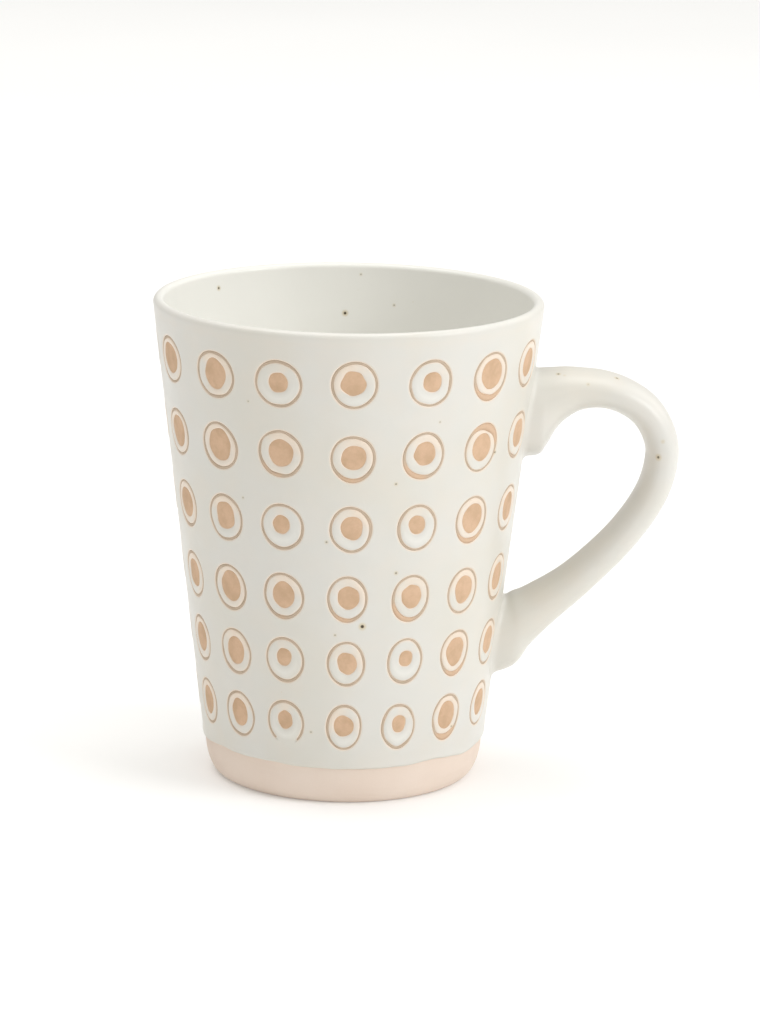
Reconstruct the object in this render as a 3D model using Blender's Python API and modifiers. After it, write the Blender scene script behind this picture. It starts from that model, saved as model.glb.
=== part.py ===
"""A tall tapered stoneware mug with a strap handle, as its maker puts it together.

A thin-walled clay cup and a clay strap handle are joined with two pads of slip,
then coated with a liner glaze inside, a body glaze outside down to a line above
the foot, and a glaze sleeve round the handle.  Metres, +Z up.  The cup's axis is
the world Z axis, it stands on z = 0, and the handle points along +X.
"""
import math

import bmesh
import bpy
from mathutils import Vector

# Driving dimensions of the finished, glazed mug.
HEIGHT = 0.112
RIM_RADIUS = 0.045
BASE_RADIUS = 0.0318      # where the outside taper would meet the table
FOOT_RADIUS = 0.0288      # edge of the flat underside
FOOT_RISE = 0.0090        # height over which the bare foot curves inwards
GLAZE_LINE = 0.0094       # lower edge of the body glaze
WALL = 0.0040             # glaze to glaze, below the lip's taper
LIP_WALL = 0.0025         # glaze to glaze at the rounded lip
LIP_TAPER = 0.035         # height below the lip over which the wall thins
FLOOR = 0.0060            # top of the glazed floor
CORNER_RADIUS = 0.0090    # inside, between floor and wall
GLAZE = 0.0005
GAP = 0.0003              # clearance between neighbouring solids
SLIP = 0.0008             # thickness of the luting slip under a handle root
SEGMENTS = 48             # round the cup
SECTION_POINTS = 20       # round the handle
SPAN_STEPS = 2            # loft sections from one handle station to the next
SECTION_POWER = 2.3       # 2 is an ellipse, more is squarer

# The glazed handle from its upper root to its lower one: centre x and z, direction of
# travel in degrees above +X, half thickness in its plane, and half width across it.
HANDLE_STATIONS = (
    (0.0370, 0.0855, 0, 0.0100, 0.0095),
    (0.0436, 0.0856, 0, 0.0100, 0.0094),
    (0.0458, 0.0868, 0, 0.0089, 0.0090),
    (0.0480, 0.0888, 0, 0.0070, 0.0085),
    (0.0505, 0.0902, 0, 0.0057, 0.0081),
    (0.0540, 0.0911, 0, 0.0046, 0.0077),
    (0.0590, 0.0910, -6, 0.0041, 0.0075),
    (0.0642, 0.0893, -24, 0.0039, 0.0075),
    (0.0689, 0.0860, -46, 0.0039, 0.0074),
    (0.0720, 0.0809, -69, 0.0039, 0.0073),
    (0.0729, 0.0750, -92, 0.0038, 0.0072),
    (0.0705, 0.0662, -116, 0.0037, 0.0072),
    (0.0638, 0.0562, -130, 0.0037, 0.0073),
    (0.0538, 0.0462, -136, 0.0040, 0.0076),
    (0.0452, 0.0396, -143, 0.0050, 0.0082),
    (0.0413, 0.0365, -160, 0.0062, 0.0088),
    (0.0378, 0.0332, -172, 0.0082, 0.0092),
    (0.0300, 0.0318, -180, 0.0092, 0.0094),
)

TAPER = (RIM_RADIUS - BASE_RADIUS) / HEIGHT
TAPER_ANGLE = math.atan(TAPER)
LIP_RADIUS = LIP_WALL / 2
LIP_CENTRE = HEIGHT - LIP_RADIUS
CLAY_DEPTH = GLAZE + GAP  # from the glazed surface down to the clay


def clear_scene():
    for thing in list(bpy.data.objects):
        bpy.data.objects.remove(thing)


def new_collection(name):
    collection = bpy.data.collections.new(name)
    bpy.context.scene.collection.children.link(collection)
    return collection


def new_material(name, colour, roughness):
    material = bpy.data.materials.new(name)
    material.use_nodes = True
    shader = material.node_tree.nodes["Principled BSDF"]
    shader.inputs["Base Color"].default_value = (*colour, 1.0)
    shader.inputs["Roughness"].default_value = roughness
    shader.inputs["Metallic"].default_value = 0.0
    return material


def new_object(name, mesh, collection, material=None):
    thing = bpy.data.objects.new(name, mesh)
    collection.objects.link(thing)
    if material:
        mesh.materials.append(material)
        mesh.shade_smooth()
        mesh.set_sharp_from_angle(angle=math.radians(40))
    return thing


def new_cutter(name, mesh):
    cutter = new_object(name, mesh, cutters)
    cutter.hide_render = True
    cutter.display_type = "WIRE"
    return cutter


def cut(thing, cutter, operation="DIFFERENCE"):
    boolean = thing.modifiers.new(operation.lower() + "_" + cutter.name, "BOOLEAN")
    boolean.operation = operation
    boolean.object = cutter


# The cup's outline: every point is (radius, height), at a depth below the glazed surface.

def outer_radius(z, depth=0.0):
    return BASE_RADIUS + TAPER * z - depth / math.cos(TAPER_ANGLE)


def inner_radius(z, depth=0.0):
    fraction = min(max((z - (LIP_CENTRE - LIP_TAPER)) / LIP_TAPER, 0.0), 1.0)
    ease = fraction * fraction * (3 - 2 * fraction)
    wall = WALL + (LIP_WALL - WALL) * ease
    return BASE_RADIUS + TAPER * z - (wall - depth) / math.cos(TAPER_ANGLE)


def heights(low, high, count):
    return [low + (high - low) * i / count for i in range(count + 1)]


def arc(centre, radius, start, end, count):
    angles = [math.radians(start + (end - start) * i / count) for i in range(count + 1)]
    return [(centre[0] + radius * math.cos(a), centre[1] + radius * math.sin(a)) for a in angles]


def inside_line(depth):
    """From the middle of the floor, round the corner and up to just under the lip."""
    centre_z = FLOOR + CORNER_RADIUS
    centre = (inner_radius(centre_z) - CORNER_RADIUS / math.cos(TAPER_ANGLE), centre_z)
    corner = arc(centre, CORNER_RADIUS + depth, -90, -math.degrees(TAPER_ANGLE), 6)
    wall = [(inner_radius(z, depth), z) for z in heights(corner[-1][1], LIP_CENTRE, 7)]
    return [(0.0, FLOOR - depth)] + corner + wall[1:-1]


def lip_arc(depth, start, end, count):
    centre = (outer_radius(LIP_CENTRE) - LIP_RADIUS / math.cos(TAPER_ANGLE), LIP_CENTRE)
    return arc(centre, LIP_RADIUS - depth, start, end, count)


def outside_line(depth, lowest, count):
    """From just under the lip down the taper."""
    return [(outer_radius(z, depth), z) for z in heights(LIP_CENTRE, lowest, count)][1:]


def foot_curve(depth, count=6):
    """A quarter of an ellipse from the taper in to the edge of the underside."""
    reach = outer_radius(FOOT_RISE, depth) - FOOT_RADIUS
    turns = [math.pi / 2 * i / count for i in range(1, count + 1)]
    return [(FOOT_RADIUS + reach * math.cos(t), FOOT_RISE * (1 - math.sin(t))) for t in turns]


def turned(name, profile, collection, material, closed):
    """A profile revolved round Z; a closed one is a ring, an open one ends on the axis."""
    mesh = bpy.data.meshes.new(name)
    shape = bmesh.new()
    points = [shape.verts.new((radius, 0.0, z)) for radius, z in profile]
    for first, second in zip(points, points[1:]):
        shape.edges.new((first, second))
    if closed:
        shape.edges.new((points[-1], points[0]))
    shape.to_mesh(mesh)
    shape.free()
    thing = new_object(name, mesh, collection, material)
    screw = thing.modifiers.new("turn", "SCREW")
    screw.steps = SEGMENTS
    screw.render_steps = SEGMENTS
    screw.use_merge_vertices = True
    screw.merge_threshold = 0.00001
    screw.use_smooth_shade = True
    return thing


def solid_cone(name, depth):
    """Everything inside the outside taper at a depth, to cut or keep a handle root by."""
    low, high = -0.01, HEIGHT + 0.01
    mesh = bpy.data.meshes.new(name)
    shape = bmesh.new()
    bmesh.ops.create_cone(
        shape, cap_ends=True, segments=SEGMENTS, depth=high - low,
        radius1=outer_radius(low, depth), radius2=outer_radius(high, depth))
    bmesh.ops.translate(shape, verts=shape.verts, vec=(0, 0, (low + high) / 2))
    shape.to_mesh(mesh)
    shape.free()
    return new_cutter(name, mesh)


# The handle: a loft through its stations, with superellipse sections.

def between(row, step):
    """Catmull-Rom values at a fraction of the span from station row to row + 1."""
    last = len(HANDLE_STATIONS) - 1
    before, start, end, after = (HANDLE_STATIONS[min(max(row + i, 0), last)] for i in (-1, 0, 1, 2))
    return [
        0.5 * (2 * b + (c - a) * step + (2 * a - 5 * b + 4 * c - d) * step**2
               + (3 * b - a - 3 * c + d) * step**3)
        for a, b, c, d in zip(before, start, end, after)]


def rounded(value):
    return math.copysign(abs(value) ** (2 / SECTION_POWER), value)


def handle_section(station, depth):
    """The points round one section, looking along the handle from the upper root."""
    x, z, heading, thick, wide = station
    across = Vector((-math.sin(math.radians(heading)), 0, math.cos(math.radians(heading))))
    points = []
    for i in range(SECTION_POINTS):
        turn = 2 * math.pi * i / SECTION_POINTS
        side = rounded(math.cos(turn)) * (wide - depth)
        rise = rounded(math.sin(turn)) * (thick - depth)
        points.append(Vector((x, side, z)) + across * rise)
    return points


def handle_mesh(name, depth):
    """The whole strap, at a depth below its glazed surface."""
    spans = len(HANDLE_STATIONS) - 1
    stations = [between(row, i / SPAN_STEPS) for row in range(spans) for i in range(SPAN_STEPS)]
    stations.append(HANDLE_STATIONS[-1])
    mesh = bpy.data.meshes.new(name)
    shape = bmesh.new()
    rings = [[shape.verts.new(p) for p in handle_section(s, depth)] for s in stations]
    for ring, following in zip(rings, rings[1:]):
        for i in range(SECTION_POINTS):
            j = (i + 1) % SECTION_POINTS
            shape.faces.new((ring[i], following[i], following[j], ring[j]))
    shape.faces.new(rings[0])
    shape.faces.new(rings[-1][::-1])
    bmesh.ops.recalc_face_normals(shape, faces=shape.faces)
    shape.to_mesh(mesh)
    shape.free()
    return mesh


def half_box(name, low, high):
    """A box over one height band on the handle's side, to keep one root of the two."""
    mesh = bpy.data.meshes.new(name)
    shape = bmesh.new()
    bmesh.ops.create_cube(shape, size=1.0)
    bmesh.ops.scale(shape, verts=shape.verts, vec=(0.06, 0.06, high - low))
    bmesh.ops.translate(shape, verts=shape.verts, vec=(0.05, 0, (low + high) / 2))
    shape.to_mesh(mesh)
    shape.free()
    return new_cutter(name, mesh)


def clay_cup():
    profile = (inside_line(CLAY_DEPTH) + lip_arc(CLAY_DEPTH, 170, 0, 5)
               + outside_line(CLAY_DEPTH, FOOT_RISE, 6) + foot_curve(CLAY_DEPTH) + [(0.0, 0.0)])
    return turned("clay_cup", profile, mug, bare_clay, closed=False)


def liner_glaze():
    """The inside coat, from the floor up to the crest of the lip."""
    crest = 90 + math.degrees(GAP / 2 / LIP_RADIUS)
    skin = inside_line(0.0) + lip_arc(0.0, 170, crest, 3)
    back = inside_line(GLAZE) + lip_arc(GLAZE, 170, crest, 3)
    return turned("liner_glaze", skin + back[::-1], mug, white_glaze, closed=False)


def body_glaze():
    """The outside coat, from the crest of the lip to the glaze line, open at both roots."""
    crest = 90 - math.degrees(GAP / 2 / LIP_RADIUS)
    skin = lip_arc(0.0, crest, 0, 3) + outside_line(0.0, GLAZE_LINE, 6)
    back = lip_arc(GLAZE, crest, 0, 3) + outside_line(GLAZE, GLAZE_LINE, 6)
    coat = turned("body_glaze", skin + back[::-1], mug, white_glaze, closed=True)
    cut(coat, new_cutter("root_openings", handle_mesh("root_openings", GLAZE)))
    return coat


def handle():
    strap = new_object("handle", handle_mesh("handle", CLAY_DEPTH), mug, bare_clay)
    cut(strap, solid_cone("handle_seat", CLAY_DEPTH - GAP - SLIP - GAP))
    return strap


def slip_joint(name, low, high):
    """The pad of slip between the cup's wall and one root of the handle."""
    pad = new_object(name, handle_mesh(name, CLAY_DEPTH), mug, slip_clay)
    cut(pad, solid_cone(name + "_face", CLAY_DEPTH - GAP))
    cut(pad, solid_cone(name + "_back", CLAY_DEPTH - GAP - SLIP), "INTERSECT")
    cut(pad, half_box(name + "_side", low, high), "INTERSECT")
    return pad


def handle_glaze():
    """A sleeve round the strap, open at both ends, which stop short of the body glaze."""
    sleeve = new_object("handle_glaze", handle_mesh("handle_glaze", 0.0), mug, white_glaze)
    cut(sleeve, new_cutter("strap_core", handle_mesh("strap_core", GLAZE)))
    cut(sleeve, solid_cone("sleeve_seat", -GAP))
    return sleeve


clear_scene()
mug = new_collection("stoneware_mug")
cutters = new_collection("cutters")
bare_clay = new_material("bare_clay", (0.67, 0.52, 0.38), 0.85)
slip_clay = new_material("slip_clay", (0.72, 0.60, 0.47), 0.80)
white_glaze = new_material("white_glaze", (0.80, 0.78, 0.72), 0.25)

clay_cup()
handle()
slip_joint("upper_slip_joint", 0.060, 0.110)
slip_joint("lower_slip_joint", 0.010, 0.060)
body_glaze()
liner_glaze()
handle_glaze()
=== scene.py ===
"""Looks of the tapered stoneware mug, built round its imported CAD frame.

The glaze over the cup is one closed skin.  Its wall is a grid of cells, one for each
motif, and every cell's loops follow its motif's outlines, so that the ring line and the
dot are real recesses with a rounded white cushion of glaze between them.  The tan rings
and dots are inlays that lie in those recesses.  Metres throughout, +Z up.

Angles round the cup are measured from the front (-Y) towards the handle (+X).  A
motif is drawn on a flat pattern, (u, v) in metres, that narrows with the taper below.
"""
import math

import bmesh
import bpy
import numpy as np
from mathutils import Matrix, Vector


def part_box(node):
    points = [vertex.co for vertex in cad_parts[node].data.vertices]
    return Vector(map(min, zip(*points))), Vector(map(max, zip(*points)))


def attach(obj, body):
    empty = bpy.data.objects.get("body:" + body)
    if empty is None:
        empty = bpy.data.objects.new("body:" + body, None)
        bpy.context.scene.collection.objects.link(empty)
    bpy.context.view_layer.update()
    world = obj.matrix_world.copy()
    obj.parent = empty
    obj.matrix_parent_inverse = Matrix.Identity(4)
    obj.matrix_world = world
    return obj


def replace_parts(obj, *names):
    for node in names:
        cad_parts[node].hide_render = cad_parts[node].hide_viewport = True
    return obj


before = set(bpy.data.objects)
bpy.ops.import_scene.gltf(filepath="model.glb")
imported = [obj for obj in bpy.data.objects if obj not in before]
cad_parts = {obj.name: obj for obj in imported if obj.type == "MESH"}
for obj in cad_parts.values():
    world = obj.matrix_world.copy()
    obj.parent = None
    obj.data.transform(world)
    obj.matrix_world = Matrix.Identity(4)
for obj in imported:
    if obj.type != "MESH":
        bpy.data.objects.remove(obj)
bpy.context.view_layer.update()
rng = np.random.default_rng(11)

MM = 0.001

# The cup, from the frame.
COAT_CORNERS = [(math.hypot(v.co.x, v.co.y), v.co.z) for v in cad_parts["body_glaze"].data.vertices]
GLAZE_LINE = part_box("body_glaze")[0].z
RIM = max(COAT_CORNERS)
HEEL = max(corner for corner in COAT_CORNERS if corner[1] < GLAZE_LINE + 0.1 * MM)
TAPER = (RIM[0] - HEEL[0]) / (RIM[1] - HEEL[1])
LIP_CENTRE = RIM[1]
LIP_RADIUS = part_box("body_glaze")[1].z - LIP_CENTRE

# Its layers, its inside and its foot.
GLAZE = 0.5 * MM
BOND = 0.03 * MM          # how far fired glaze and clay reach into each other
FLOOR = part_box("liner_glaze")[0].z + GLAZE
LIP_WALL = 2 * LIP_RADIUS
LIP_STEPS = 18            # points round the lip
WALL = 4.0 * MM
LIP_TAPER = 35 * MM       # height below the lip over which the wall thins
CORNER_RADIUS = 9 * MM
FOOT_RISE = 9 * MM        # height over which the foot curves in to the underside
FOOT_RADIUS = 28.8 * MM

# How the hand-finished wall strays from a true cone, in waves: order round the cup,
# radians of climb per metre of height, phase, and height in mm.
WALL_WAVES = [
    (2, 0, 0.6, 0.09), (3, 30, 1.9, 0.06), (5, -46, 0.4, 0.035), (9, 75, 0.0, 0.018),
    (13, -120, 2.0, 0.012),
]

# The pattern.
COLUMNS = 16
HANDLE_COLUMN = 7         # under the handle, and left plain
ROW_HEIGHTS = [100.1 * MM, 83.4 * MM, 66.6 * MM, 49.9 * MM, 34.6 * MM, 19.4 * MM]
PATTERN_TOP = 108.3 * MM
PATTERN_FOOT = 11.9 * MM
STEPS = 12                # points along one side of a motif's cell
AROUND = 4 * STEPS
COLUMN_ANGLE = 360 / COLUMNS
FIRST_EDGE = -3.5 * COLUMN_ANGLE
TURNS = np.radians(FIRST_EDGE + COLUMN_ANGLE * np.arange(COLUMNS * STEPS) / STEPS)

# The columns in front: degrees from the even place at the top and the bottom row, the
# rings' width, and the dots' widths from the top row down (mm on the pattern).
COLUMN_PLANS = {
    0: (-0.5, 0.3, 11.0, (6.9, 6.9, 6.8, 6.2, 6.5, 6.3)),
    1: (0.6, 0.2, 11.4, (6.5, 7.1, 6.2, 6.9, 6.3, 6.2)),
    2: (0.6, -0.7, 11.2, (4.6, 6.1, 4.4, 6.0, 4.3, 4.5)),
    3: (1.2, -0.7, 10.4, (5.6, 5.8, 5.5, 5.6, 5.3, 5.4)),
    4: (1.3, -1.5, 10.5, (4.6, 5.5, 4.4, 5.6, 3.9, 4.2)),
    5: (1.2, -2.4, 10.9, (6.7, 6.2, 6.7, 6.3, 6.6, 6.5)),
    6: (0.2, -2.0, 10.9, (6.0, 6.2, 6.4, 6.1, 6.2, 6.0)),
}
# Every other column: those degrees, and the bounds of both widths.
OTHER_TURNS = (0.4, -0.9)
OTHER_RING_WIDTHS = (10.4, 11.4)
OTHER_DOT_WIDTHS = (4.2, 6.8)
STRAY_TURN = 0.25         # degrees by which a single motif strays sideways
STRAY_RISE = 0.15         # mm by which it strays up or down

RING_HEIGHT = 10.8 * MM
RING_WOBBLE = 0.016
LINE_WIDTH = 0.52 * MM
LEAST_LINE = 0.26 * MM
LINE_WOBBLE = 0.2         # slow change of a line's width round its ring
LINE_BEADS = 0.5          # quick change of it
# A line narrower than these stays darker than the dots: painted shade of its narrow groove.
WIDE_LINE = (0.6 * MM, 1.1 * MM)     # widths over which a line takes the dots' fuller tan

SWELL_ARC = 48            # degrees to each side over which a line swells
SWELL_OUTWARD = 0.45      # share of a swell that lies outside the ring
USUAL_SWELL = -100        # degrees, where a line swells that isn't listed below
SWELL_SPREAD = 0.12       # mm
# Where a ring's line swells: (column, row): direction in degrees, extra width in mm.
SWELLS = {
    (5, 0): (-100, 1.0), (5, 1): (62, 1.3), (5, 2): (-95, 0.7), (5, 4): (-85, 0.7),
    (5, 5): (-85, 1.0), (4, 1): (-125, 0.6), (4, 3): (-120, 0.7), (3, 1): (-100, 0.45),
    (3, 3): (-100, 0.45), (2, 1): (-95, 0.35), (1, 1): (-110, 0.3), (2, 3): (-95, 0.3),
    (3, 2): (10, 0.2), (1, 3): (-120, 0.25),
}
# Rings that the glaze has flooded over an arc: (column, row): from and to, in degrees.
FLOODED = {(2, 5): (-128, -52), (11, 2): (-60, 10)}
FLOOD_EASE = 6            # degrees over which a flood begins and ends

DOT_WOBBLE = 0.05
LARGE_DOT = 5.8           # mm wide, above which a dot is taller than wide
LARGE_DOT_STRETCH = 1.05
SMALL_DOT = 4.6           # mm wide, below which a dot sits higher in its ring
DOT_DRIFT = (0.1, 0.3)    # mm from the ring's middle, to the right and up
SMALL_DOT_LIFT = 0.35     # mm
DOT_STRAY = (0.15, 0.08)  # mm by which single dots stray from that

# Relief of the glaze over its even surface, and how thin it is there, up to 1.
LINE_DEPTH = 0.10 * MM    # the glaze's edge along a ring line
DOT_DEPTH = 0.05 * MM     # its edge round a dot
PIT_DEPTH = 0.28 * MM     # the bottom of both recesses
PIT_SLOPE = 0.02 * MM     # how far a recess's side leans in
LINE_THIN = 0.85
DOT_THIN = 0.8
CUSHION = 0.07 * MM
CUSHION_DIP = 0.06 * MM   # how low the cushion starts at its two edges
POOL = 0.06 * MM          # extra cushion at its lower side, where glaze has run down
NARROW = (1.3 * MM, 2.9 * MM)        # widths over which a cushion is thin all over
# Loops outside a ring line: mm away from it, mm of rise, and thinness.
FIELD_LOOPS = [(1.0, 0.0, 0.0), (0.5, 0.02, 0.12), (0.2, 0.0, 0.45)]
FIELD_ROOM = 0.7          # share of the way to the cell's edge that they may take
CUSHION_SHARES = [0.1, 0.25, 0.5, 0.75, 0.9]
BORDER_THIN = 0.75        # thinness at a cushion's two edges
NARROW_THIN = 0.7         # thinness of a narrow one all over
POOL_THICK = 0.45         # how much less thin it is where glaze has pooled

# The inlays, by their depth under the glaze's even surface.
LINE_CROWN = 0.075 * MM
LINE_SIDE = 0.115 * MM
LINE_FOOT = 0.26 * MM
FLOOD_DEPTH = 0.2 * MM    # how much deeper a line lies where glaze has flooded it
DOT_FOOT = 0.255 * MM
# A dot's top from its edge in: share of the dot's radius, and depth in mm.
DOT_TOP = [(1.0, 0.075), (0.97, 0.055), (0.7, 0.04), (0.4, 0.035), (0.15, 0.035)]
INLAY_FIT = 0.006 * MM    # how far an inlay reaches into the glaze beside it
INLAY_DRAFT = 0.01 * MM   # how much narrower a ring's foot is on each side
DOT_DRAFT = 0.008 * MM    # how much narrower a dot's foot is on each side
DOT_SAG = 0.02            # unevenness of a dot's top

# The neck above the pattern: thinness of its glaze, from the pattern up.
NECK_THINNESS = [0.06, 0.12, 0.14, 0.10]

# The beaded lower edge of the glaze: mm above its line, mm of rise, and thinness.
EDGE_PROFILE = [
    (1.3, 0.02, 0.0), (0.9, 0.08, 0.0), (0.55, 0.12, 0.0), (0.28, 0.08, 0.05),
    (0.1, -0.05, 0.15), (0.0, -0.22, 0.3), (0.0, -0.4, 0.4), (0.06, -0.53, 0.4),
]
EDGE_DROP = 0.5 * MM      # how far its mean lies below the CAD's even edge
EDGE_RIPPLES = [(23, 0, 0.04), (37, 1, 0.03)]    # order, phase, mm
# Its larger waves: degrees, mm above or below the mean, and half width in degrees.
EDGE_WAVES = [
    (-78, -0.4, 9), (-58, 0.5, 12), (-33, 0.4, 10), (38, 0.5, 9), (58, -0.5, 9),
    (88, 0.5, 12), (120, -0.7, 14),
    (150, 0.7, 12), (176, -0.5, 12), (205, 0.7, 13), (238, -0.6, 12), (262, 0.4, 9),
]

# Iron specks: degrees and height on the outside, the same inside, and x, y, z on the
# handle; then the radius of the dark core, all in mm, and how dark it is.  Those on the
# handle are placed a little off its surface, so their spheres are larger.
OUTSIDE_SPECKS = [
    (5.2, 43.6, 0.42, 1.0), (14.6, 77.2, 0.24, 0.55), (16.2, 56.1, 0.26, 0.6),
    (-36.1, 72.1, 0.2, 0.4), (-7.3, 63.6, 0.24, 0.5), (-4.3, 41.5, 0.2, 0.5),
    (-13.4, 17.7, 0.22, 0.4), (46.1, 16.6, 0.25, 0.6), (52.4, 81.5, 0.25, 0.6),
    (27.9, 91.0, 0.2, 0.35), (-32.0, 95.0, 0.2, 0.35), (131, 58.0, 0.35, 0.9),
    (168, 88.5, 0.25, 0.6), (201, 31.0, 0.3, 0.8), (247, 74.0, 0.22, 0.5),
]
INSIDE_SPECKS = [
    (225.9, 108.1, 0.3, 0.85), (180.2, 100.2, 0.36, 1.0), (175.2, 109.4, 0.2, 0.4),
    (163.8, 102.5, 0.22, 0.45), (20.0, 71.0, 0.3, 0.8), (310.0, 52.0, 0.25, 0.6),
]
HANDLE_SPECKS = [
    (48.2, -4.0, 95.15, 0.24, 0.7), (49.6, -4.6, 94.7, 0.2, 0.6), (61.7, -3.1, 94.05, 0.28, 0.75),
    (54.9, -7.0, 93.6, 0.2, 0.45), (71.4, -7.0, 76.5, 0.32, 0.8), (72.4, -7.0, 80.3, 0.22, 0.55),
    (66.0, 6.6, 58.5, 0.25, 0.6),
]
HANDLE_SPECK_SCALE = 1.2
SPECK_CORE = (0.65, 1.15)            # where a core fades out, in its radii
SPECK_HALO = (0.8, 3.0)              # where its tan halo does
HALO_STRENGTH = 0.6

# The glazed handle from its upper root to its lower one, in mm: centre x and z, travel
# in degrees above +X, half thickness in its plane, and half width across it.
HANDLE_STATIONS = [
    (37.0, 85.5, 0, 10.0, 9.5), (43.6, 85.6, 0, 10.0, 9.4), (45.8, 86.8, 0, 8.9, 9.0),
    (48.0, 88.8, 0, 7.0, 8.5), (50.5, 90.2, 0, 5.7, 8.1), (54.0, 91.1, 0, 4.6, 7.7),
    (59.0, 91.0, -6, 4.1, 7.5), (64.2, 89.3, -24, 3.9, 7.5), (68.9, 86.0, -46, 3.9, 7.4),
    (72.0, 80.9, -69, 3.9, 7.3), (72.9, 75.0, -92, 3.8, 7.2), (70.5, 66.2, -116, 3.7, 7.2),
    (63.8, 56.2, -130, 3.7, 7.3), (53.8, 46.2, -136, 4.0, 7.6), (45.2, 39.6, -143, 5.0, 8.2),
    (41.3, 36.5, -160, 6.2, 8.8), (37.8, 33.2, -172, 8.2, 9.2), (30.0, 31.8, -180, 9.2, 9.4),
]
SECTION_POWER = 2.3
HANDLE_AROUND = 56
HANDLE_ROWS = 150
HANDLE_SAMPLES = 400      # places at which the strap is measured against the wall
FILLET = 1.3 * MM
INNER_FILLET = 0.4 * MM
FILLET_SHARES = (-0.25, 0.0, 0.04, 0.13, 0.28, 0.48, 0.72)     # heights of its loops

# The camera and the light.
CAMERA_AZIMUTH = -1.07    # degrees from the front
CAMERA_REACH = 0.990      # level distance from the cup's axis
CAMERA_HEIGHT = 0.2997
CAMERA_ROLL = 0.93
CAMERA_LENS = 153.07
AIM = Vector((7.9 * MM, 0.0, 60.2 * MM))
WHITE_LIGHT = (1.0, 1.0, 1.0)
COOL_LIGHT = (0.975, 0.985, 1.0)
# Square softboxes that face the mug: name, place, side, watts and colour.
SOFTBOXES = [
    ("top_softbox", (0.0, 0.2, 3.0), 2.4, 38.0, WHITE_LIGHT),
    ("key_softbox", (1.2, -0.6, 0.85), 0.8, 9.6, COOL_LIGHT),
    ("front_softbox", (0.3, -2.2, 1.3), 1.4, 2.5, WHITE_LIGHT),
    ("back_softbox", (1.1, 0.7, 0.8), 0.8, 2.0, WHITE_LIGHT),
    ("left_softbox", (-0.8, 0.4, 1.6), 0.8, 4.0, WHITE_LIGHT),
]
SKY_COLOUR = (1.0, 0.985, 0.945, 1.0)
SKY_STRENGTH = 0.575
FLOOR_SIZE = 12.0
FLOOR_GLOW = 0.12


# Shape of the cup ---------------------------------------------------------------------

def smooth(value, start=0.0, end=1.0):
    """0 before start, 1 after end, and an even S between."""
    t = np.clip((value - start) / (end - start), 0.0, 1.0)
    return t * t * (3 - 2 * t)


def unevenness(turn, z):
    """How far the hand-finished wall strays from a true cone."""
    waves = [height * np.sin(order * turn + climb * z + phase)
             for order, climb, phase, height in WALL_WAVES]
    return MM * sum(waves)


def true_radius(z):
    return HEEL[0] + TAPER * (z - HEEL[1])


def wall_points(turn, z, rise=0.0):
    """Points on the outside of the cup, rise above the even surface of its glaze."""
    radius = true_radius(z) + unevenness(turn, z) + rise
    return np.stack([radius * np.sin(turn), -radius * np.cos(turn), z - TAPER * rise], axis=-1)


def inner_radius(z, depth=0.0):
    wall = WALL + (LIP_WALL - WALL) * smooth(z, LIP_CENTRE - LIP_TAPER, LIP_CENTRE)
    return true_radius(z) - wall + depth


def level_ring(radius, z):
    """One level ring of the cup, as uneven as its wall; radius and z may vary round it."""
    steady = smooth(radius, 0.0, FOOT_RADIUS)
    reach = radius + steady * unevenness(TURNS, z)
    return np.stack([reach * np.sin(TURNS), -reach * np.cos(TURNS), z + 0 * TURNS], axis=-1)


def arc(centre, radius, start, end, count):
    turns = np.radians(np.linspace(start, end, count))
    return [(centre[0] + radius * math.cos(t), centre[1] + radius * math.sin(t)) for t in turns]


def lip_line(depth, start, end, count):
    return arc((true_radius(LIP_CENTRE) - LIP_RADIUS, LIP_CENTRE), LIP_RADIUS - depth, start, end, count)


def inside_line(depth, wall_count):
    """From just inside the lip down the wall and round the corner to near the axis."""
    centre_z = FLOOR + CORNER_RADIUS
    centre = (inner_radius(centre_z) - CORNER_RADIUS, centre_z)
    heights = np.linspace(LIP_CENTRE - 0.6 * MM, centre_z, wall_count)
    wall = [(inner_radius(z, depth), z) for z in heights]
    corner = arc(centre, CORNER_RADIUS + depth, 0, -90, 14)[1:]
    floor = [(corner[-1][0] * share, FLOOR - depth) for share in (0.8, 0.6, 0.4, 0.2, 0.06)]
    return wall + corner + floor


def edge_height(turn):
    """Height of the glaze's lower edge, wavy from the dip."""
    degrees = np.degrees(turn)
    height = GLAZE_LINE - EDGE_DROP + 0 * degrees
    for middle, rise, half_width in EDGE_WAVES:
        away = (degrees - middle + 180) % 360 - 180
        height = height + rise * MM * np.exp(-(away / half_width) ** 2)
    for order, phase, rise in EDGE_RIPPLES:
        height = height + rise * MM * np.sin(order * turn + phase)
    return height


# Mesh work ----------------------------------------------------------------------------

# Glaze thinness; below 0 on the cup's inside it paints the glaze lighter, as painted light.
THINNESS_AND_PAINTED_LIGHT = "glaze_thin_and_painted_light"
WELD = 0.0005 * MM


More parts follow.
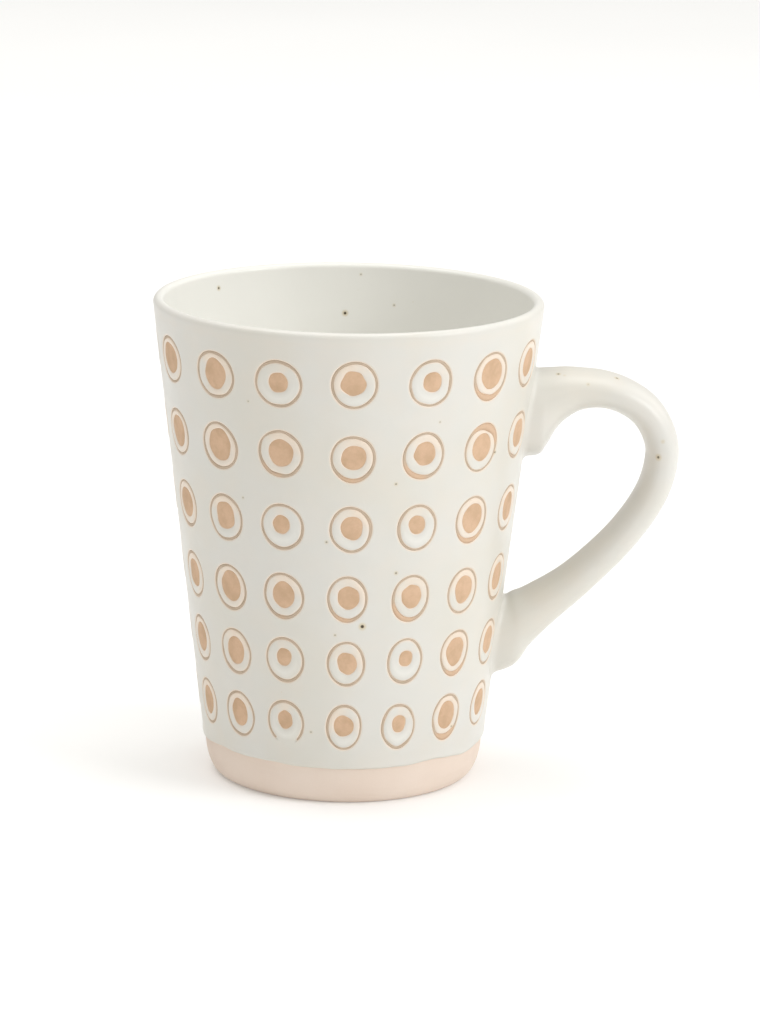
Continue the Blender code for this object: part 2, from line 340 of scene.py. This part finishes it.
class Patchwork:
    """Closed loops of points joined into bands, and then welded where bands meet.

    Each point has a thinness, which its material reads: how thin the glaze is there,
    below 0 where it is thicker than usual, and on the whole inside, where it paints the
    glaze lighter as painted light; or on the ring lines how wide the line is, which sets
    their painted shade.
    """

    def __init__(self):
        self.points = []
        self.thinness = []
        self.faces = []
        self.count = 0

    def add(self, loop, thin=0.0):
        first = self.count
        self.points.append(loop)
        self.thinness.append(np.broadcast_to(thin, len(loop)))
        self.count += len(loop)
        return first

    def bands(self, loops, thins=None, centre=None, closed=False):
        """Bands from each loop to the next, and a fan to a centre point if one is given."""
        thins = thins or [0.0] * len(loops)
        size = len(loops[0])
        starts = [self.add(loop, thin) for loop, thin in zip(loops, thins)]
        pairs = list(zip(starts, starts[1:]))
        if closed:
            pairs.append((starts[-1], starts[0]))
        for first, second in pairs:
            for i in range(size):
                j = (i + 1) % size
                self.faces.append((first + i, first + j, second + j, second + i))
        if centre is not None:
            middle = self.add(np.array([centre]), float(np.mean(thins[-1])))
            last = starts[-1]
            self.faces += [(last + i, last + (i + 1) % size, middle) for i in range(size)]

    def piece(self, name, material, weld=True):
        mesh = bpy.data.meshes.new(name)
        mesh.from_pydata(np.concatenate(self.points).tolist(), [], self.faces)
        layer = mesh.attributes.new(THINNESS_AND_PAINTED_LIGHT, "FLOAT", "POINT")
        layer.data.foreach_set("value", np.concatenate(self.thinness).astype(np.float32))
        return finished(name, mesh, material, weld)


def finished(name, mesh, material, weld=True):
    """A closed mesh with its faces pointing out, riding on the mug."""
    shape = bmesh.new()
    shape.from_mesh(mesh)
    if weld:
        bmesh.ops.remove_doubles(shape, verts=shape.verts, dist=WELD)
    bmesh.ops.recalc_face_normals(shape, faces=shape.faces)
    shape.to_mesh(mesh)
    shape.free()
    mesh.shade_smooth()
    mesh.materials.append(material)
    thing = bpy.data.objects.new(name, mesh)
    bpy.context.scene.collection.objects.link(thing)
    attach(thing, "root")
    return thing


# The motifs ---------------------------------------------------------------------------

PATTERN_RADIUS = true_radius(ROW_HEIGHTS[0])
PHI = np.radians(-45 + 90 * np.arange(AROUND) / STEPS)
TOWARDS = np.stack([np.cos(PHI), np.sin(PHI)], axis=-1)


def wobble(strength, orders):
    """A closed irregular outline: relative change of radius round a circle."""
    change = 0 * PHI
    for order in orders:
        change = change + rng.normal(0, strength / order) * np.cos(order * PHI + rng.uniform(0, 6.3))
    return change


def bump_at(direction, width):
    """1 in one direction round the motif, falling to 0 within width degrees of it."""
    away = (np.degrees(PHI) - direction + 180) % 360 - 180
    return np.exp(-(away / width) ** 2)


def oval(width, height):
    return 0.5 / np.sqrt((np.cos(PHI) / width) ** 2 + (np.sin(PHI) / height) ** 2)


class Motif:
    """Outlines of one ring and dot, as offsets from its cell's middle on the pattern."""

    def __init__(self, column, row):
        if column in COLUMN_PLANS:
            top, bottom, ring_width, dots = COLUMN_PLANS[column]
            dot_width = dots[row]
        else:
            top, bottom = OTHER_TURNS
            ring_width = rng.uniform(*OTHER_RING_WIDTHS)
            dot_width = rng.uniform(*OTHER_DOT_WIDTHS)
        share = row / (len(ROW_HEIGHTS) - 1)
        turn = math.radians(top + (bottom - top) * share + rng.normal(0, STRAY_TURN))
        self.middle = np.array([turn * PATTERN_RADIUS, rng.normal(0, STRAY_RISE) * MM])
        self.lay_out_ring(column, row, ring_width)
        self.flood = self.flooded_part(column, row)
        self.lay_out_dot(dot_width)

    def lay_out_ring(self, column, row, width):
        ring = oval(width * MM, RING_HEIGHT) * (1 + wobble(RING_WOBBLE, (2, 3, 4, 5)))
        line = LINE_WIDTH * (1 + wobble(LINE_WOBBLE, (1, 2, 3, 5)) + wobble(LINE_BEADS, (7,)))
        usual = (USUAL_SWELL, max(0.0, rng.normal(0.0, SWELL_SPREAD)))
        direction, extra = SWELLS.get((column, row), usual)
        swell = bump_at(direction, SWELL_ARC) * extra * MM
        self.line_out = ring + SWELL_OUTWARD * swell
        self.line_in = ring - np.maximum(line, LEAST_LINE) - (1 - SWELL_OUTWARD) * swell

    def flooded_part(self, column, row):
        """1 where glaze has run over the ring's line, and 0 elsewhere round it."""
        if (column, row) not in FLOODED:
            return 0 * PHI
        start, end = FLOODED[column, row]
        degrees = (np.degrees(PHI) + 180) % 360 - 180
        begun = smooth(degrees, start - FLOOD_EASE, start + FLOOD_EASE)
        return begun * (1 - smooth(degrees, end - FLOOD_EASE, end + FLOOD_EASE))

    def lay_out_dot(self, width):
        height = width * (LARGE_DOT_STRETCH if width > LARGE_DOT else 1.0)
        self.dot = oval(width * MM, height * MM) * (1 + wobble(DOT_WOBBLE, (2, 3, 4, 5, 6, 7)))
        lift = SMALL_DOT_LIFT * (width < SMALL_DOT)
        drift = [rng.normal(DOT_DRIFT[0], DOT_STRAY[0]), DOT_DRIFT[1] + lift + rng.normal(0, DOT_STRAY[1])]
        self.dot_middle = self.middle + MM * np.array(drift)

    def loop(self, radius, about_dot=False):
        return (self.dot_middle if about_dot else self.middle) + TOWARDS * radius[:, None]


def cell_frame(column, row):
    """Turn of the cell's middle, height of the motif, and heights of the cell's edges."""
    edges = [PATTERN_TOP] + [(a + b) / 2 for a, b in zip(ROW_HEIGHTS, ROW_HEIGHTS[1:])] + [PATTERN_FOOT]
    turn = math.radians(FIRST_EDGE + COLUMN_ANGLE * (column + 0.5))
    return turn, ROW_HEIGHTS[row], edges[row], edges[row + 1]


def cell_edge(column, row):
    """The cell's rectangle as (u, v), counterclockwise from its lower right corner."""
    _, middle, top, bottom = cell_frame(column, row)
    side = np.arange(STEPS) / STEPS
    half = math.radians(COLUMN_ANGLE / 2) * PATTERN_RADIUS
    right = np.stack([half + 0 * side, bottom - middle + (top - bottom) * side], axis=-1)
    upper = np.stack([half - 2 * half * side, top - middle + 0 * side], axis=-1)
    left = np.stack([-half + 0 * side, top - middle - (top - bottom) * side], axis=-1)
    lower = np.stack([-half + 2 * half * side, bottom - middle + 0 * side], axis=-1)
    return np.concatenate([right, upper, left, lower])


def on_wall(column, row, loop, rise):
    """A loop of the pattern wrapped round the cup."""
    turn, middle, _, _ = cell_frame(column, row)
    return wall_points(turn + loop[:, 0] / PATTERN_RADIUS, middle + loop[:, 1], rise)


def add_cell(coat, column, row, motif):
    """Glaze over one cell: field, line recess, cushion and dot recess, from the edge in."""
    edge = cell_edge(column, row)
    shown = 1 - motif.flood
    low_side = 0.5 - 0.5 * np.sin(PHI)
    outline = motif.loop(motif.line_out)
    inner = motif.loop(motif.line_in)
    dot = motif.loop(motif.dot, about_dot=True)
    room = np.linalg.norm(edge - outline, axis=1)
    loops, rises, thins = [edge], [0 * PHI], [0 * PHI]

    def lay(loop, rise, thin):
        loops.append(loop)
        rises.append(rise + 0 * PHI)
        thins.append(thin + 0 * PHI)

    for away, rise, thin in FIELD_LOOPS:
        step = np.minimum(away * MM, away * FIELD_ROOM * room)
        lay(motif.loop(motif.line_out + step), rise * MM * shown, thin * shown)
    lay(outline, -LINE_DEPTH * shown, LINE_THIN * shown)
    lay(motif.loop(motif.line_out - PIT_SLOPE), -PIT_DEPTH * shown, LINE_THIN * shown)
    lay(motif.loop(motif.line_in + PIT_SLOPE), -PIT_DEPTH * shown, LINE_THIN * shown)
    lay(inner, -LINE_DEPTH * shown, LINE_THIN * shown)
    narrow = 1 - smooth(np.linalg.norm(dot - inner, axis=1), *NARROW)
    for share in CUSHION_SHARES:
        arch = math.sin(math.pi * share) ** 0.8
        crest = CUSHION + POOL * low_side
        border = 1 - math.sin(math.pi * share) ** 0.5
        pooled = POOL_THICK * low_side * math.sqrt(arch) * (1 - 0.6 * narrow)
        thin = np.maximum(BORDER_THIN * border, NARROW_THIN * narrow) - pooled
        lay(inner + (dot - inner) * share, crest * arch - CUSHION_DIP * (1 - arch), thin)
    lay(dot, -DOT_DEPTH, DOT_THIN)
    lay(motif.loop(motif.dot - PIT_SLOPE, about_dot=True), -PIT_DEPTH, DOT_THIN)
    wrapped = [on_wall(column, row, loop, rise) for loop, rise in zip(loops, rises)]
    centre = on_wall(column, row, np.array([motif.dot_middle]), -PIT_DEPTH)[0]
    coat.bands(wrapped, thins, centre)


def add_plain_cell(coat, column, row):
    """Glaze over the cell that the handle takes up."""
    edge = cell_edge(column, row)
    loops = [edge * share for share in (1.0, 0.8, 0.6, 0.4, 0.2)]
    wrapped = [on_wall(column, row, loop, 0.0) for loop in loops]
    coat.bands(wrapped, None, on_wall(column, row, np.zeros((1, 2)), 0.0)[0])


def add_ring_inlay(rings, column, row, motif):
    """A flat band that fills the ring's recess and dives under the glaze where flooded."""
    sunk = FLOOD_DEPTH * motif.flood
    plan = [
        (motif.line_out + INLAY_FIT, LINE_SIDE), ((motif.line_out + motif.line_in) / 2, LINE_CROWN),
        (motif.line_in - INLAY_FIT, LINE_SIDE), (motif.line_in + INLAY_DRAFT, LINE_FOOT),
        (motif.line_out - INLAY_DRAFT, LINE_FOOT),
    ]
    loops = [on_wall(column, row, motif.loop(radius), -depth - sunk) for radius, depth in plan]
    # Narrow lines keep the darker line tan, painted shade of their groove; wide ones take the dots' fuller
    # tan.
    wide = smooth(motif.line_out - motif.line_in, *WIDE_LINE)
    rings.bands(loops, [wide] * len(loops), closed=True)


def add_dot_inlay(dots, column, row, motif):
    """A low disc that fills the dot's recess, a little uneven on top."""
    sag = wobble(DOT_SAG, (1, 2, 3)) * MM

    def laid(radius, rise):
        return on_wall(column, row, motif.loop(radius, about_dot=True), rise)

    def middle_at(rise):
        return on_wall(column, row, np.array([motif.dot_middle]), rise)[0]

    top = [laid(motif.dot * share + INLAY_FIT, sag - depth * MM) for share, depth in DOT_TOP]
    foot = laid(motif.dot - DOT_DRAFT, -DOT_FOOT)
    _, middle_depth = DOT_TOP[-1]
    dots.bands([foot] + top, None, middle_at(-middle_depth * MM))
    dots.bands([foot], None, middle_at(-DOT_FOOT))


# The handle ---------------------------------------------------------------------------

def station_at(place):
    """Catmull-Rom values of the handle's stations at a place from 0 to the last one."""
    last = len(HANDLE_STATIONS) - 1
    row = min(int(place), last - 1)
    t = place - row
    rows = [HANDLE_STATIONS[min(max(row + i, 0), last)] for i in (-1, 0, 1, 2)]
    before, start, end, after = (np.array(r, float) for r in rows)
    return 0.5 * (2 * start + (end - before) * t + (2 * before - 5 * start + 4 * end - after) * t**2
                  + (3 * start - before - 3 * end + after) * t**3)


def handle_section(place, depth):
    """Points round the strap at one place, and their directions out of it."""
    x, z, heading, thick, wide = station_at(place)
    across = np.array([-math.sin(math.radians(heading)), math.cos(math.radians(heading))])
    turns = 2 * np.pi * np.arange(HANDLE_AROUND) / HANDLE_AROUND
    power = 2 / SECTION_POWER
    side = np.sign(np.cos(turns)) * np.abs(np.cos(turns)) ** power * (wide * MM - depth)
    rise = np.sign(np.sin(turns)) * np.abs(np.sin(turns)) ** power * (thick * MM - depth)
    points = np.stack([x * MM + across[0] * rise, side, z * MM + across[1] * rise], axis=-1)
    along = np.roll(points, -1, 0) - np.roll(points, 1, 0)
    travel = np.array([across[1], 0.0, -across[0]])
    out = np.cross(along, travel)
    return points, out / np.linalg.norm(out, axis=1, keepdims=True)


def above_wall(points):
    """How far points are outside the cup's glaze."""
    turn = np.arctan2(points[:, 0], -points[:, 1])
    level = true_radius(points[:, 2]) + unevenness(turn, points[:, 2])
    return np.hypot(points[:, 0], points[:, 1]) - level


def onto_wall(points, height):
    """The same y and z, moved along X to a height above the cup's glaze."""
    turn = np.arctan2(points[:, 0], -points[:, 1])
    level = true_radius(points[:, 2]) + unevenness(turn, points[:, 2]) + height
    return np.stack([np.sqrt(level**2 - points[:, 1] ** 2), points[:, 1], points[:, 2]], axis=-1)


def crossing(places, heights, target, rising):
    """For each line along the handle, the place where it passes a height above the wall."""
    found = np.zeros(HANDLE_AROUND)
    for i in range(HANDLE_AROUND):
        line = heights[:, i] - target
        hits = np.nonzero((line[:-1] < 0) != (line[1:] < 0))[0]
        k = hits[0] if rising else hits[-1]
        found[i] = places[k] + (places[k + 1] - places[k]) * line[k] / (line[k] - line[k + 1])
    return found


def handle_skin(depth, fillet):
    """Loops along the strap from under the glaze at one root to under it at the other."""
    places = np.linspace(0, len(HANDLE_STATIONS) - 1, HANDLE_SAMPLES)
    sections = [handle_section(place, depth) for place in places]
    points = np.array([s[0] for s in sections])
    outs = np.array([s[1] for s in sections])
    heights = np.array([above_wall(p) for p in points])

    def at(spots):
        """Points and outward directions where each line reaches its own place."""
        k = np.clip(np.searchsorted(places, spots) - 1, 0, len(places) - 2)
        t = ((spots - places[k]) / (places[k + 1] - places[k]))[:, None]
        i = np.arange(HANDLE_AROUND)
        return points[k, i] * (1 - t) + points[k + 1, i] * t, outs[k, i] * (1 - t) + outs[k + 1, i] * t

    def root(rising):
        loops = []
        for share in FILLET_SHARES:
            height = share * fillet
            spot, out = at(crossing(places, heights, max(height, 0.0), rising))
            flare = fillet - math.sqrt(fillet**2 - (fillet * (1 - max(share, 0.0))) ** 2)
            out = out * np.array([0.0, 1.0, 1.0])
            loops.append(onto_wall(spot + out * flare, height))
        return loops

    start = crossing(places, heights, fillet, True)
    end = crossing(places, heights, fillet, False)
    shares = np.linspace(0, 1, HANDLE_ROWS)
    strap = [at(start + (end - start) * share)[0] for share in shares]
    return root(True) + strap + root(False)[::-1]


def handle_coat(material):
    sleeve = Patchwork()
    outer = handle_skin(0.0, FILLET)
    inner = handle_skin(GLAZE, INNER_FILLET)
    sleeve.bands(outer + inner[::-1], closed=True)
    coat = sleeve.piece("handle_glaze_coat", material)
    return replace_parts(coat, "handle_glaze")


# The cup's clay and glaze -------------------------------------------------------------

def cup_coat(material, motifs):
    """One closed skin: the wall's cells, the lip, the liner, and a smooth back."""
    coat = Patchwork()
    for column in range(COLUMNS):
        for row in range(len(ROW_HEIGHTS)):
            if column == HANDLE_COLUMN:
                add_plain_cell(coat, column, row)
            else:
                add_cell(coat, column, row, motifs[column, row])

    neck_heights = np.linspace(PATTERN_TOP, LIP_CENTRE, len(NECK_THINNESS) + 1)[:-1]
    neck = [(true_radius(z), z) for z in neck_heights]
    profile = neck + lip_line(0.0, 0, 175, LIP_STEPS) + inside_line(0.0, 44)
    rings = [level_ring(radius, z) for radius, z in profile]
    # Over the lip and on the whole inside the thinness drops below 0, painting that glaze lighter: painted
    # light.
    thins = NECK_THINNESS + [-step / LIP_STEPS for step in range(1, LIP_STEPS + 1)]
    thins += [-1.0] * (len(profile) - len(thins))
    coat.bands(rings, thins, (0.0, 0.0, FLOOR))

    line = edge_height(TURNS)
    lower = [level_ring(true_radius(PATTERN_FOOT), PATTERN_FOOT)]
    for up, rise, _ in EDGE_PROFILE:
        # A high wave stays under the pattern's foot, each loop below the one before.
        height = np.minimum(line + up * MM, PATTERN_FOOT - 0.15 * MM * (1.5 - up))
        lower.append(level_ring(true_radius(height) + rise * MM, height))
    thins = [0.0] + [thin for _, _, thin in EDGE_PROFILE]
    back = [(true_radius(z) - GLAZE - BOND, z) for z in np.linspace(PATTERN_FOOT, LIP_CENTRE, 12)]
    back += lip_line(GLAZE + BOND, 20, 175, 6) + inside_line(GLAZE + BOND, 14)
    backing = [level_ring(radius, z) for radius, z in back]
    coat.bands(lower + backing, thins + [0.0] * len(backing), (0.0, 0.0, FLOOR - GLAZE - BOND))
    skin = coat.piece("cup_glaze_coat", material)
    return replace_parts(skin, "body_glaze", "liner_glaze")


def clay_body(material):
    """The clay under the glaze, seen where the foot is left bare."""
    reach = true_radius(FOOT_RISE) - GLAZE - FOOT_RADIUS
    quarter = np.radians(np.linspace(0, 90, 12))
    foot = [(FOOT_RADIUS + reach * math.cos(t), FOOT_RISE * (1 - math.sin(t))) for t in quarter]
    wall = [(true_radius(z) - GLAZE, z) for z in np.linspace(LIP_CENTRE, FOOT_RISE + 1.5 * MM, 14)]
    underside = [(FOOT_RADIUS * share, 0.0) for share in (0.985, 0.8, 0.5, 0.2)]
    inside = inside_line(GLAZE, 14)[::-1]
    profile = inside + lip_line(GLAZE, 160, 20, 6) + wall + foot + underside
    body = Patchwork()
    rings = [level_ring(radius, z) for radius, z in profile]
    body.bands(rings[::-1], None, (0.0, 0.0, FLOOR - GLAZE))
    body.bands(rings[-1:], None, (0.0, 0.0, 0.0))
    cup = body.piece("cup_clay_body", material)
    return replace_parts(cup, "clay_cup")


# Materials ----------------------------------------------------------------------------

class Recipe:
    """A node material being put together."""

    def __init__(self, name):
        self.material = bpy.data.materials.new(name)
        self.material.use_nodes = True
        self.tree = self.material.node_tree
        self.shader = self.tree.nodes["Principled BSDF"]
        self.place = self.node("ShaderNodeTexCoord").outputs["Object"]

    def node(self, kind, **settings):
        made = self.tree.nodes.new(kind)
        for name, value in settings.items():
            setattr(made, name, value)
        return made

    def link(self, source, target):
        self.tree.links.new(source, target)

    def noise(self, size, detail=2.0, roughness=0.5, stretch=None):
        """Noise with features of a size in metres, as a 0 to 1 output."""
        texture = self.node("ShaderNodeTexNoise")
        texture.inputs["Scale"].default_value = 1 / size
        texture.inputs["Detail"].default_value = detail
        texture.inputs["Roughness"].default_value = roughness
        place = self.place
        if stretch:
            mapping = self.node("ShaderNodeMapping")
            mapping.inputs["Scale"].default_value = stretch
            self.link(place, mapping.inputs["Vector"])
            place = mapping.outputs["Vector"]
        self.link(place, texture.inputs["Vector"])
        return texture.outputs["Fac"]

    def spread(self, source, low, high, to_low=0.0, to_high=1.0):
        """A value from low to high, mapped smoothly to another range."""
        ranged = self.node("ShaderNodeMapRange", interpolation_type="SMOOTHSTEP")
        bounds = {"From Min": low, "From Max": high, "To Min": to_low, "To Max": to_high}
        for socket, value in bounds.items():
            ranged.inputs[socket].default_value = value
        self.link(source, ranged.inputs["Value"])
        return ranged.outputs["Result"]

    def maths(self, operation, first, second):
        made = self.node("ShaderNodeMath", operation=operation)
        for socket, value in zip(made.inputs, (first, second)):
            if isinstance(value, (int, float)):
                socket.default_value = value
            else:
                self.link(value, socket)
        return made.outputs["Value"]

    def mix(self, factor, first, second):
        """Two colours mixed; a colour is a tuple or another output."""
        mixer = self.node("ShaderNodeMix", data_type="RGBA")
        self.link(factor, mixer.inputs["Factor"])
        for socket, value in (("A", first), ("B", second)):
            target = next(s for s in mixer.inputs if s.name == socket and s.type == "RGBA")
            if isinstance(value, tuple):
                target.default_value = (*value, 1.0)
            else:
                self.link(value, target)
        return next(s for s in mixer.outputs if s.type == "RGBA")

    def bump(self, layers):
        """Bump from (height output, distance in metres) layers, finest last."""
        normal = None
        for height, distance in layers:
            bump = self.node("ShaderNodeBump")
            bump.inputs["Strength"].default_value = 1.0
            bump.inputs["Distance"].default_value = distance
            self.link(height, bump.inputs["Height"])
            if normal:
                self.link(normal, bump.inputs["Normal"])
            normal = bump.outputs["Normal"]
        self.link(normal, self.shader.inputs["Normal"])

    def colour(self, source):
        self.link(source, self.shader.inputs["Base Color"])

    def roughness(self, source):
        self.link(source, self.shader.inputs["Roughness"])

    def speck_shade(self, specks):
        """How far the specks' dark cores and their tan halos show, from 0 to 1."""
        core, halo = None, None
        for centre, radius, strength in specks:
            away = self.node("ShaderNodeVectorMath", operation="DISTANCE")
            away.inputs[1].default_value = centre
            self.link(self.place, away.inputs[0])
            start, end = (share * radius for share in SPECK_CORE)
            dark = self.spread(away.outputs["Value"], start, end, strength, 0.0)
            start, end = (share * radius for share in SPECK_HALO)
            warm = self.spread(away.outputs["Value"], start, end, HALO_STRENGTH * strength, 0.0)
            core = dark if core is None else self.maths("MAXIMUM", core, dark)
            halo = warm if halo is None else self.maths("MAXIMUM", halo, warm)
        return core, halo


WHITE_GLAZE = (0.672, 0.652, 0.592)
COOL_GLAZE = (0.680, 0.668, 0.626)
# Thick pooled glaze, and the whole inside of the cup painted lighter than the wall: painted light.
THICK_GLAZE_AND_INSIDE_LIGHT = (0.842, 0.834, 0.786)
THIN_GLAZE = (0.84, 0.67, 0.52)
DOT_TAN = (0.655, 0.445, 0.295)
DEEP_DOT_TAN = (0.54, 0.36, 0.225)
# The ring lines' tan, darker than the dots': their own tan with painted shade of their narrow grooves.
SHADED_LINE_TAN = (0.545, 0.430, 0.325)
DEEP_SHADED_LINE_TAN = (0.475, 0.37, 0.27)
SPECK_BROWN = (0.045, 0.028, 0.012)
SPECK_TAN = (0.56, 0.43, 0.19)
FOOT_CLAY = (0.795, 0.680, 0.592)
DEEP_FOOT_CLAY = (0.735, 0.605, 0.512)
JOINT_SLIP = (0.72, 0.58, 0.45)
DEEP_JOINT_SLIP = (0.62, 0.46, 0.34)
FLOOR_GREY = (0.86, 0.86, 0.855)
PALE_FLOOR_GREY = (0.88, 0.88, 0.875)
DUST_SPACING = 3.5 * MM


def glaze_material(name, specks):
    """Satin white glaze, cooler where thick and warm where the clay shows through; painted lighter inside
    the cup as painted light.
    """
    recipe = Recipe(name)
    cloud = recipe.spread(recipe.noise(30 * MM, 3.0), 0.35, 0.65)
    base = recipe.mix(cloud, WHITE_GLAZE, COOL_GLAZE)
    mottle = recipe.spread(recipe.noise(6 * MM), 0.3, 0.8, 0.0, 0.09)
    base = recipe.mix(mottle, base, THIN_GLAZE)
    thin = recipe.node("ShaderNodeAttribute", attribute_name=THINNESS_AND_PAINTED_LIGHT).outputs["Fac"]
    base = recipe.mix(recipe.spread(thin, 0.0, 1.0, 0.0, 0.8), base, THIN_GLAZE)
    # Lighter where thinness is below 0: thick pooled glaze, and on the cup's inside painted light.
    base = recipe.mix(recipe.spread(thin, -1.0, 0.0, 1.0, 0.0), base, THICK_GLAZE_AND_INSIDE_LIGHT)
    # Dust: a faint pin in the middle of the few cells whose random value is high.
    dust = recipe.node("ShaderNodeTexVoronoi", feature="F1")
    dust.inputs["Scale"].default_value = 1 / DUST_SPACING
    recipe.link(recipe.place, dust.inputs["Vector"])
    rare = recipe.spread(dust.outputs["Color"], 0.80, 0.84)
    pin = recipe.spread(dust.outputs["Distance"], 0.02, 0.06, 0.35, 0.0)
    base = recipe.mix(recipe.maths("MULTIPLY", rare, pin), base, SPECK_TAN)
    core, halo = recipe.speck_shade(specks)
    base = recipe.mix(halo, base, SPECK_TAN)
    base = recipe.mix(core, base, SPECK_BROWN)
    recipe.colour(base)
    recipe.roughness(recipe.spread(recipe.noise(10 * MM, 3.0), 0.3, 0.7, 0.30, 0.40))
    recipe.shader.inputs["IOR"].default_value = 1.5
    recipe.bump([(recipe.noise(11 * MM, 1.0), 0.14 * MM), (recipe.noise(1.4 * MM), 0.012 * MM)])
    return recipe.material


def tan_material(name, base, deep, roughness, wide=None):
    """Bare tan slip in the recesses: flat, matt and faintly blotched; on ring lines darker where narrow,
    painted shade of the groove, and fuller where wide.
    """
    recipe = Recipe(name)
    blotch = recipe.spread(recipe.noise(3.5 * MM, 3.0, 0.6), 0.3, 0.75)
    colour = recipe.mix(blotch, base, deep)
    if wide:
        width = recipe.node("ShaderNodeAttribute", attribute_name=THINNESS_AND_PAINTED_LIGHT).outputs["Fac"]
        colour = recipe.mix(recipe.spread(width, 0.0, 1.0, 0.0, 0.9), colour, wide)
    grain = recipe.spread(recipe.noise(0.4 * MM), 0.35, 0.75, 0.0, 0.25)
    recipe.colour(recipe.mix(grain, colour, deep))
    recipe.roughness(recipe.spread(recipe.noise(2 * MM), 0.3, 0.7, roughness - 0.06, roughness + 0.06))
    recipe.bump([(recipe.noise(1.2 * MM), 0.02 * MM), (recipe.noise(0.25 * MM), 0.01 * MM)])
    return recipe.material


def clay_material(name, base, deep):
    """Unglazed stoneware: pinkish, matt, with fine grain and turning marks."""
    recipe = Recipe(name)
    cloud = recipe.spread(recipe.noise(16 * MM, 3.0), 0.3, 0.7, 0.0, 0.5)
    colour = recipe.mix(cloud, base, deep)
    grain = recipe.spread(recipe.noise(0.45 * MM, 3.0, 0.65), 0.55, 0.8, 0.0, 0.35)
    recipe.colour(recipe.mix(grain, colour, deep))
    recipe.roughness(recipe.spread(recipe.noise(1.2 * MM), 0.3, 0.7, 0.78, 0.92))
    turning = recipe.noise(4 * MM, stretch=(0.12, 0.12, 5.0))
    recipe.bump([(turning, 0.05 * MM), (recipe.noise(0.5 * MM, 3.0, 0.6), 0.03 * MM)])
    return recipe.material


# The setting --------------------------------------------------------------------------

def softbox(name, place, size, power, colour):
    """A square area light facing the point that the camera aims at."""
    light = bpy.data.lights.new(name, "AREA")
    light.shape = "SQUARE"
    light.size = size
    light.energy = power
    light.color = colour
    lamp = bpy.data.objects.new(name, light)
    lamp.location = place
    lamp.rotation_euler = (Vector(place) - AIM).to_track_quat("Z", "Y").to_euler()
    bpy.context.scene.collection.objects.link(lamp)


def floor_material():
    recipe = Recipe("studio_floor")
    tone = recipe.spread(recipe.noise(350 * MM), 0.3, 0.7)
    recipe.colour(recipe.mix(tone, FLOOR_GREY, PALE_FLOOR_GREY))
    recipe.shader.inputs["Roughness"].default_value = 0.9
    recipe.shader.inputs["Emission Color"].default_value = (1.0, 1.0, 1.0, 1.0)
    recipe.shader.inputs["Emission Strength"].default_value = FLOOR_GLOW
    return recipe.material


def studio():
    """A plain pale floor and soft light."""
    bpy.ops.mesh.primitive_plane_add(size=FLOOR_SIZE, location=(0, 0, 0))
    floor = bpy.context.object
    floor.name = "studio_floor"
    floor.data.materials.append(floor_material())
    world = bpy.data.worlds.new("studio")
    world.use_nodes = True
    sky = world.node_tree.nodes["Background"]
    sky.inputs["Color"].default_value = SKY_COLOUR
    sky.inputs["Strength"].default_value = SKY_STRENGTH
    bpy.context.scene.world = world
    for box in SOFTBOXES:
        softbox(*box)
    bpy.context.scene.view_settings.view_transform = "Standard"


def camera():
    """A long lens from the photograph's side, tipped by its slight roll."""
    lens = bpy.data.cameras.new("photo_camera")
    lens.lens = CAMERA_LENS
    lens.sensor_width = 36.0
    lens.clip_end = 50.0
    viewer = bpy.data.objects.new("photo_camera", lens)
    azimuth = math.radians(CAMERA_AZIMUTH)
    viewer.location = (CAMERA_REACH * math.sin(azimuth), -CAMERA_REACH * math.cos(azimuth), CAMERA_HEIGHT)
    level = (viewer.location - AIM).to_track_quat("Z", "Y").to_matrix().to_4x4()
    tilted = level @ Matrix.Rotation(math.radians(CAMERA_ROLL), 4, "Z")
    viewer.rotation_euler = tilted.to_euler()
    bpy.context.scene.collection.objects.link(viewer)
    bpy.context.scene.camera = viewer


def cup_specks():
    """(centre, radius, strength) of the specks on the cup, outside and inside."""
    specks = []
    for degrees, height, radius, strength in OUTSIDE_SPECKS:
        point = wall_points(math.radians(degrees), height * MM)
        specks.append((tuple(point), radius * MM, strength))
    for degrees, height, radius, strength in INSIDE_SPECKS:
        turn, z = math.radians(degrees), height * MM
        reach = inner_radius(z)
        specks.append(((reach * math.sin(turn), -reach * math.cos(turn), z), radius * MM, strength))
    return specks


def handle_specks():
    return [((x * MM, y * MM, z * MM), HANDLE_SPECK_SCALE * radius * MM, strength)
            for x, y, z, radius, strength in HANDLE_SPECKS]


camera()
studio()

cup_glaze = glaze_material("white_glaze_cup", cup_specks())
handle_glaze = glaze_material("white_glaze_handle", handle_specks())
foot_clay = clay_material("bare_clay", FOOT_CLAY, DEEP_FOOT_CLAY)
joint_slip = clay_material("slip_clay", JOINT_SLIP, DEEP_JOINT_SLIP)
dot_tan = tan_material("tan_dot", DOT_TAN, DEEP_DOT_TAN, roughness=0.75)
# The ring lines' material, darker than the dots' where narrow: painted shade.
shaded_line_tan = tan_material("shaded_tan_line", SHADED_LINE_TAN, DEEP_SHADED_LINE_TAN, roughness=0.6, wide=DOT_TAN)

motifs = {}
for column in range(COLUMNS):
    if column != HANDLE_COLUMN:
        for row in range(len(ROW_HEIGHTS)):
            motifs[column, row] = Motif(column, row)

ring_lines = Patchwork()
dots = Patchwork()
for (column, row), motif in motifs.items():
    add_ring_inlay(ring_lines, column, row, motif)
    add_dot_inlay(dots, column, row, motif)
ring_lines.piece("tan_ring_lines", shaded_line_tan, weld=False)
dots.piece("tan_dots", dot_tan)

cup_coat(cup_glaze, motifs)
clay_body(foot_clay)
handle_coat(handle_glaze)
carried_over = {"handle": foot_clay, "upper_slip_joint": joint_slip, "lower_slip_joint": joint_slip}
for node, material in carried_over.items():
    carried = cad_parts[node]
    carried.data.materials.clear()
    carried.data.materials.append(material)

bpy.context.view_layer.update()
